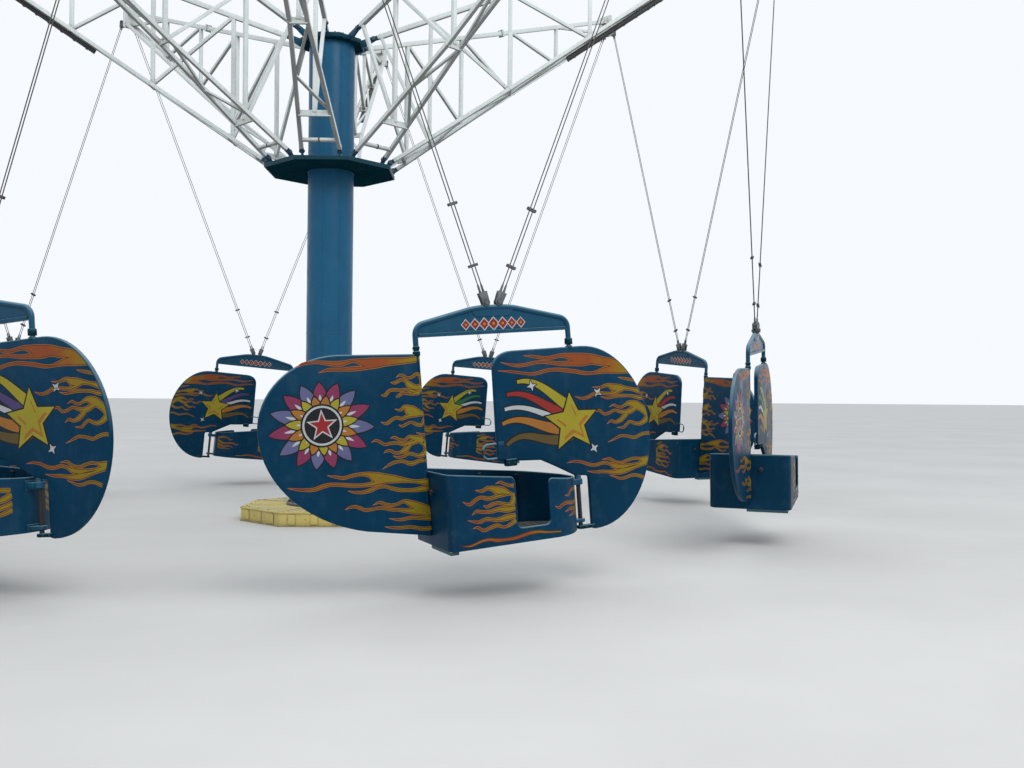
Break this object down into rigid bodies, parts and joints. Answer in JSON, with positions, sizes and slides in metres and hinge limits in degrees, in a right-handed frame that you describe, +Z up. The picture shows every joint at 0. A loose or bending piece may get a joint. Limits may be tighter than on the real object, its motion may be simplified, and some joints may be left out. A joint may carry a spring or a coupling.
{
  "type": "chair swing ride",
  "caption": "Amusement ride: open cars with a tail fin and a steerable front rudder hang on cable pairs from lattice arms around a turning central mast.",
  "frame": {"origin": "on the floor, under the base, on the mast's axis", "axes": "+Z up along the mast; +X along the first arm; cars travel anticlockwise seen from above"},
  "size_m": [12.1586, 12.1586, 8.47],
  "materials": {
    "platform_yellow": "worn satin yellow paint on steel",
    "bearing_grey": "grey-blue machinery paint",
    "mast_blue": "semi-gloss blue paint with faint streaks",
    "hub_blue": "semi-gloss blue paint",
    "arm_white": "white paint, weathered at the joints",
    "light_black": "matt black box section with lamp sockets",
    "cable_steel": "galvanised wire rope and shackles",
    "frame_paint": "glossy blue paint with painted flames and shapes",
    "tub_paint": "glossy blue paint with painted flames, worn at the rim",
    "rudder_paint": "glossy blue paint with painted flames and shapes"
  },
  "bodies": {
    "base": {"base_platform": "platform_yellow", "base_bearing": "bearing_grey"},
    "head": {"mast": "mast_blue", "hub_lower": "hub_blue", "hub_upper": "hub_blue", "arm_1": "arm_white", "arm_2": "arm_white", "arm_3": "arm_white", "arm_4": "arm_white", "arm_5": "arm_white", "arm_6": "arm_white", "arm_7": "arm_white", "arm_8": "arm_white", "light_bar_1": "light_black", "light_bar_2": "light_black", "light_bar_3": "light_black", "light_bar_4": "light_black"},
    "car_1": {"car_1_cable_front": "cable_steel", "car_1_cable_rear": "cable_steel", "car_1_frame": "frame_paint", "car_1_tub": "tub_paint"},
    "rudder_1": {"car_1_rudder": "rudder_paint"},
    "car_2": {"car_2_cable_front": "cable_steel", "car_2_cable_rear": "cable_steel", "car_2_frame": "frame_paint", "car_2_tub": "tub_paint"},
    "rudder_2": {"car_2_rudder": "rudder_paint"},
    "car_3": {"car_3_cable_front": "cable_steel", "car_3_cable_rear": "cable_steel", "car_3_frame": "frame_paint", "car_3_tub": "tub_paint"},
    "rudder_3": {"car_3_rudder": "rudder_paint"},
    "car_4": {"car_4_cable_front": "cable_steel", "car_4_cable_rear": "cable_steel", "car_4_frame": "frame_paint", "car_4_tub": "tub_paint"},
    "rudder_4": {"car_4_rudder": "rudder_paint"},
    "car_5": {"car_5_cable_front": "cable_steel", "car_5_cable_rear": "cable_steel", "car_5_frame": "frame_paint", "car_5_tub": "tub_paint"},
    "rudder_5": {"car_5_rudder": "rudder_paint"},
    "car_6": {"car_6_cable_front": "cable_steel", "car_6_cable_rear": "cable_steel", "car_6_frame": "frame_paint", "car_6_tub": "tub_paint"},
    "rudder_6": {"car_6_rudder": "rudder_paint"},
    "car_7": {"car_7_cable_front": "cable_steel", "car_7_cable_rear": "cable_steel", "car_7_frame": "frame_paint", "car_7_tub": "tub_paint"},
    "rudder_7": {"car_7_rudder": "rudder_paint"},
    "car_8": {"car_8_cable_front": "cable_steel", "car_8_cable_rear": "cable_steel", "car_8_frame": "frame_paint", "car_8_tub": "tub_paint"},
    "rudder_8": {"car_8_rudder": "rudder_paint"}
  },
  "joints": [
    {"name": "head_spin", "type": "hinge", "parent": "base", "child": "head", "pos_m": [0, 0, 0.42], "axis": [0, 0, 1], "continuous": true},
    {"name": "car_1_swing", "type": "hinge", "parent": "head", "child": "car_1", "pos_m": [5.20291, 2.15512, 8.2], "axis": [0.3827, -0.9239, 0], "range_deg": [-5, 40]},
    {"name": "rudder_1_turn", "type": "hinge", "parent": "car_1", "child": "rudder_1", "pos_m": [4.94256, 2.79151, 2.46774], "axis": [0.032, -0.0773, 0.9965], "range_deg": [-30, 30]},
    {"name": "car_2_swing", "type": "hinge", "parent": "head", "child": "car_2", "pos_m": [2.15512, 5.20291, 8.2], "axis": [0.9239, -0.3827, 0], "range_deg": [-5, 40]},
    {"name": "rudder_2_turn", "type": "hinge", "parent": "car_2", "child": "rudder_2", "pos_m": [1.52102, 5.46881, 2.46774], "axis": [0.0773, -0.032, 0.9965], "range_deg": [-30, 30]},
    {"name": "car_3_swing", "type": "hinge", "parent": "head", "child": "car_3", "pos_m": [-2.15512, 5.20291, 8.2], "axis": [0.9239, 0.3827, 0], "range_deg": [-5, 40]},
    {"name": "rudder_3_turn", "type": "hinge", "parent": "car_3", "child": "rudder_3", "pos_m": [-2.79151, 4.94256, 2.46774], "axis": [0.0773, 0.032, 0.9965], "range_deg": [-30, 30]},
    {"name": "car_4_swing", "type": "hinge", "parent": "head", "child": "car_4", "pos_m": [-5.20291, 2.15512, 8.2], "axis": [0.3827, 0.9239, 0], "range_deg": [-5, 40]},
    {"name": "rudder_4_turn", "type": "hinge", "parent": "car_4", "child": "rudder_4", "pos_m": [-5.46881, 1.52102, 2.46774], "axis": [0.032, 0.0773, 0.9965], "range_deg": [-30, 30]},
    {"name": "car_5_swing", "type": "hinge", "parent": "head", "child": "car_5", "pos_m": [-5.20291, -2.15512, 8.2], "axis": [-0.3827, 0.9239, 0], "range_deg": [-5, 40]},
    {"name": "rudder_5_turn", "type": "hinge", "parent": "car_5", "child": "rudder_5", "pos_m": [-4.94256, -2.79151, 2.46774], "axis": [-0.032, 0.0773, 0.9965], "range_deg": [-30, 30]},
    {"name": "car_6_swing", "type": "hinge", "parent": "head", "child": "car_6", "pos_m": [-2.15512, -5.20291, 8.2], "axis": [-0.9239, 0.3827, 0], "range_deg": [-5, 40]},
    {"name": "rudder_6_turn", "type": "hinge", "parent": "car_6", "child": "rudder_6", "pos_m": [-1.52102, -5.46881, 2.46774], "axis": [-0.0773, 0.032, 0.9965], "range_deg": [-30, 30]},
    {"name": "car_7_swing", "type": "hinge", "parent": "head", "child": "car_7", "pos_m": [2.15512, -5.20291, 8.2], "axis": [-0.9239, -0.3827, 0], "range_deg": [-5, 40]},
    {"name": "rudder_7_turn", "type": "hinge", "parent": "car_7", "child": "rudder_7", "pos_m": [2.79151, -4.94256, 2.46774], "axis": [-0.0773, -0.032, 0.9965], "range_deg": [-30, 30]},
    {"name": "car_8_swing", "type": "hinge", "parent": "head", "child": "car_8", "pos_m": [5.20291, -2.15512, 8.2], "axis": [-0.3827, -0.9239, 0], "range_deg": [-5, 40]},
    {"name": "rudder_8_turn", "type": "hinge", "parent": "car_8", "child": "rudder_8", "pos_m": [5.46881, -1.52102, 2.46774], "axis": [-0.032, -0.0773, 0.9965], "range_deg": [-30, 30]}
  ]
}
